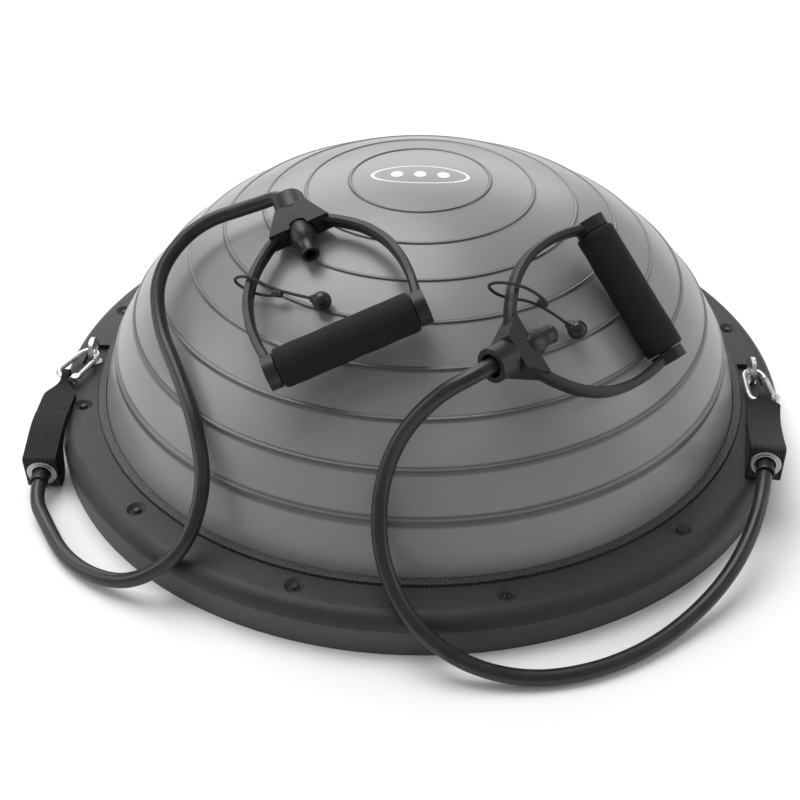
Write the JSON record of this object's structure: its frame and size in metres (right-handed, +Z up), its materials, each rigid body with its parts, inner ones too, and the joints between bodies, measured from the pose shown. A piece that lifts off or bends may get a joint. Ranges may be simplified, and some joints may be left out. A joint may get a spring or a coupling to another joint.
{
  "type": "balance dome trainer",
  "caption": "Inflated half-dome balance trainer on a rigid round base, with clip-on elastic tubes ending in foam grip handles.",
  "frame": {"origin": "centre of the underside, on the floor plane", "axes": "+Z up through the dome; the two anchor eyes lie on the X axis; both tubes run out towards -Y"},
  "size_m": [0.6045, 0.6274, 0.2229],
  "materials": {
    "tray_plastic": "fine leather grain",
    "ring_plastic": "fine leather grain",
    "dome_vinyl": "semi-gloss flexible vinyl",
    "bright_steel": "bright zinc plating",
    "dark_steel": "zinc plated",
    "black_steel": "black coated rivet head",
    "webbing": "ribbed woven polyester",
    "tube_rubber": "smooth latex tube",
    "soft_rubber": "moulded rubber",
    "yoke_plastic": "satin moulded nylon",
    "foam": "closed cell foam",
    "ball_plastic": "gloss moulded",
    "cord_fabric": "braided cord"
  },
  "bodies": {
    "base": {"base_tray": "tray_plastic", "clamp_ring": "ring_plastic", "ring_rivets": "black_steel", "dome_bladder": "dome_vinyl", "valve_seat": "soft_rubber", "foot_pads": "soft_rubber", "left_eye_bolt": "bright_steel", "left_eye_nut": "dark_steel", "left_eye_washer": "dark_steel", "right_eye_bolt": "bright_steel", "right_eye_nut": "dark_steel", "right_eye_washer": "dark_steel"},
    "valve": {"valve_plug": "soft_rubber"},
    "left_carabiner": {"left_carabiner_frame": "bright_steel", "left_gate_pin": "dark_steel"},
    "left_gate": {"left_carabiner_gate": "bright_steel"},
    "left_strap_end": {"left_strap": "webbing", "left_grommet": "bright_steel", "left_tube_sleeve": "soft_rubber", "left_anchor_ball": "ball_plastic", "left_tube": "tube_rubber"},
    "left_handle": {"left_yoke": "yoke_plastic", "left_tube_end": "tube_rubber", "left_stop_ball": "ball_plastic"},
    "left_grip": {"left_grip_core": "yoke_plastic", "left_foam_grip": "foam"},
    "left_tag": {"left_lanyard_cord": "cord_fabric", "left_lanyard_ball": "ball_plastic"},
    "right_carabiner": {"right_carabiner_frame": "bright_steel", "right_gate_pin": "dark_steel"},
    "right_gate": {"right_carabiner_gate": "bright_steel"},
    "right_strap_end": {"right_strap": "webbing", "right_grommet": "bright_steel", "right_tube_sleeve": "soft_rubber", "right_anchor_ball": "ball_plastic", "right_tube": "tube_rubber"},
    "right_handle": {"right_yoke": "yoke_plastic", "right_tube_end": "tube_rubber", "right_stop_ball": "ball_plastic"},
    "right_grip": {"right_grip_core": "yoke_plastic", "right_foam_grip": "foam"},
    "right_tag": {"right_lanyard_cord": "cord_fabric", "right_lanyard_ball": "ball_plastic"}
  },
  "joints": [
    {"name": "valve_pull", "type": "slide", "parent": "base", "child": "valve", "axis": [0, 0, -1], "range_m": [0, 0.007]},
    {"name": "left_hook_swing", "type": "hinge", "parent": "base", "child": "left_carabiner", "pos_m": [-0.278, -0.005, 0.0414], "axis": [-1, 0, 0], "range_deg": [0, 46]},
    {"name": "left_gate_swing", "type": "hinge", "parent": "left_carabiner", "child": "left_gate", "pos_m": [-0.28308, -0.0441, 0.0401], "axis": [-0.0133, -0.0314, 0.9994], "range_deg": [0, 15], "stiffness_Nm_per_rad": 0.05},
    {"name": "left_strap_swing", "type": "hinge", "parent": "left_carabiner", "child": "left_strap_end", "pos_m": [-0.29171, -0.0437, 0.04], "axis": [-0.9205, 0.3907, 0], "range_deg": [0, 26]},
    {"name": "left_pull", "type": "slide", "parent": "left_strap_end", "child": "left_handle", "axis": [-0.3016, -0.9531, 0.0261], "range_m": [0, 0.35], "stiffness_N_per_m": 80, "deforming": ["left_tube"]},
    {"name": "left_grip_spin", "type": "hinge", "parent": "left_handle", "child": "left_grip", "pos_m": [-0.0411, -0.18234, 0.177], "axis": [0.9039, 0.2896, 0.3147], "continuous": true},
    {"name": "left_tag_swing", "type": "hinge", "parent": "left_handle", "child": "left_tag", "pos_m": [-0.11529, -0.12364, 0.18039], "axis": [-0.0706, -0.9349, -0.3479], "range_deg": [0, 40], "deforming": ["left_lanyard_cord"]},
    {"name": "right_hook_swing", "type": "hinge", "parent": "base", "child": "right_carabiner", "pos_m": [0.278, -0.005, 0.0414], "axis": [-1, 0, 0], "range_deg": [0, 46]},
    {"name": "right_gate_swing", "type": "hinge", "parent": "right_carabiner", "child": "right_gate", "pos_m": [0.29122, -0.04215, 0.0401], "axis": [0.0024, -0.034, 0.9994], "range_deg": [0, 15], "stiffness_Nm_per_rad": 0.05},
    {"name": "right_strap_swing", "type": "hinge", "parent": "right_carabiner", "child": "right_strap_end", "pos_m": [0.28136, -0.04584, 0.04], "axis": [-0.9976, -0.0698, 0], "range_deg": [0, 26]},
    {"name": "right_pull", "type": "slide", "parent": "right_strap_end", "child": "right_handle", "axis": [0.3016, -0.9531, 0.0261], "range_m": [0, 0.35], "stiffness_N_per_m": 80, "deforming": ["right_tube"]},
    {"name": "right_grip_spin", "type": "hinge", "parent": "right_handle", "child": "right_grip", "pos_m": [0.15505, -0.10228, 0.1736], "axis": [-0.5359, 0.5214, 0.664], "continuous": true},
    {"name": "right_tag_swing", "type": "hinge", "parent": "right_handle", "child": "right_tag", "pos_m": [0.06926, -0.15675, 0.20135], "axis": [-0.1032, -0.8931, -0.4378], "range_deg": [0, 40], "deforming": ["right_lanyard_cord"]}
  ],
  "couplings": [
    {"joint": "left_hook_swing", "follows": "left_pull", "rad_per_m": 2.244},
    {"joint": "left_strap_swing", "follows": "left_pull", "rad_per_m": 1.2467},
    {"joint": "right_hook_swing", "follows": "right_pull", "rad_per_m": 2.244},
    {"joint": "right_strap_swing", "follows": "right_pull", "rad_per_m": 1.2467}
  ]
}
